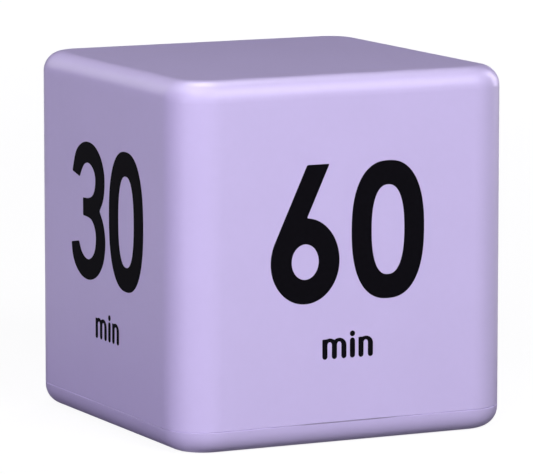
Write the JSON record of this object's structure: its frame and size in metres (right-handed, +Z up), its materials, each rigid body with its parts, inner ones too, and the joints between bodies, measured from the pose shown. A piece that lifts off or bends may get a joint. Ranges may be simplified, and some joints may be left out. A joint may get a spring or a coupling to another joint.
{
  "type": "cube timer",
  "caption": "Cube countdown timer with rounded edges: stood with a printed face up it starts that preset; display, slide switch and battery door in the bottom cover.",
  "frame": {"origin": "middle of the resting face of the bottom cover", "axes": "+Z up through the blank top; the 60 minute face looks along -Y and the 30 minute face along -X"},
  "size_m": [0.064, 0.064, 0.064],
  "materials": {
    "shell_plastic": "satin moulded",
    "clear_lens": "clear acrylic",
    "display_glass": "grey green display",
    "black_plastic": "satin black",
    "conductive_rubber": "layered rubber",
    "circuit_board": "green solder mask",
    "bright_steel": "drawn and plated",
    "capacitor_sleeve": "shrunk sleeve",
    "chip_ceramic": "ceramic",
    "brass_disc": "rolled sheet",
    "cell_jacket": "printed film jacket",
    "plated_steel": "nickel plated",
    "red_insulation": "soft PVC",
    "black_insulation": "soft PVC",
    "screw_steel": "zinc plated"
  },
  "bodies": {
    "case": {"housing": "shell_plastic", "base_cover": "shell_plastic", "lcd_window": "clear_lens", "lcd_panel": "display_glass", "lcd_holder": "black_plastic", "zebra_strips": "conductive_rubber", "main_board": "circuit_board", "controller_blob": "black_plastic", "clock_crystal": "bright_steel", "filter_capacitor": "capacitor_sleeve", "chip_parts": "chip_ceramic", "switch_body": "bright_steel", "buzzer_case": "black_plastic", "buzzer_disc": "brass_disc", "tilt_can_a": "bright_steel", "tilt_can_b": "bright_steel", "tilt_plug_a": "black_plastic", "tilt_plug_b": "black_plastic", "battery_cell_a": "cell_jacket", "battery_cell_b": "cell_jacket", "positive_contact": "plated_steel", "negative_contact": "plated_steel", "negative_spring": "plated_steel", "link_contact": "plated_steel", "link_spring": "plated_steel", "positive_lead": "red_insulation", "negative_lead": "black_insulation", "case_screws": "screw_steel", "board_screws": "screw_steel"},
    "battery_door": {"battery_door": "shell_plastic"},
    "door_latch": {"door_latch": "shell_plastic"},
    "power_switch": {"switch_slider": "black_plastic", "switch_knob": "black_plastic"},
    "tilt_ball_a": {"tilt_ball_a": "bright_steel"},
    "tilt_ball_b": {"tilt_ball_b": "bright_steel"}
  },
  "joints": [
    {"name": "battery_door_swing", "type": "hinge", "parent": "case", "child": "battery_door", "pos_m": [-0.0247, 0.0085, 0.0003], "axis": [0, 1, 0], "range_deg": [0, 90]},
    {"name": "door_latch_slide", "type": "slide", "parent": "battery_door", "child": "door_latch", "axis": [-1, 0, 0], "range_m": [0, 0.0008], "stiffness_N_per_m": 600},
    {"name": "power_switch_slide", "type": "slide", "parent": "case", "child": "power_switch", "axis": [1, 0, 0], "range_m": [0, 0.002]},
    {"name": "tilt_ball_a_roll", "type": "slide", "parent": "case", "child": "tilt_ball_a", "axis": [0.7071, -0.7071, 0], "range_m": [-0.0018, 0.0018]},
    {"name": "tilt_ball_b_roll", "type": "slide", "parent": "case", "child": "tilt_ball_b", "axis": [0.7071, 0.7071, 0], "range_m": [-0.0018, 0.0018]}
  ]
}
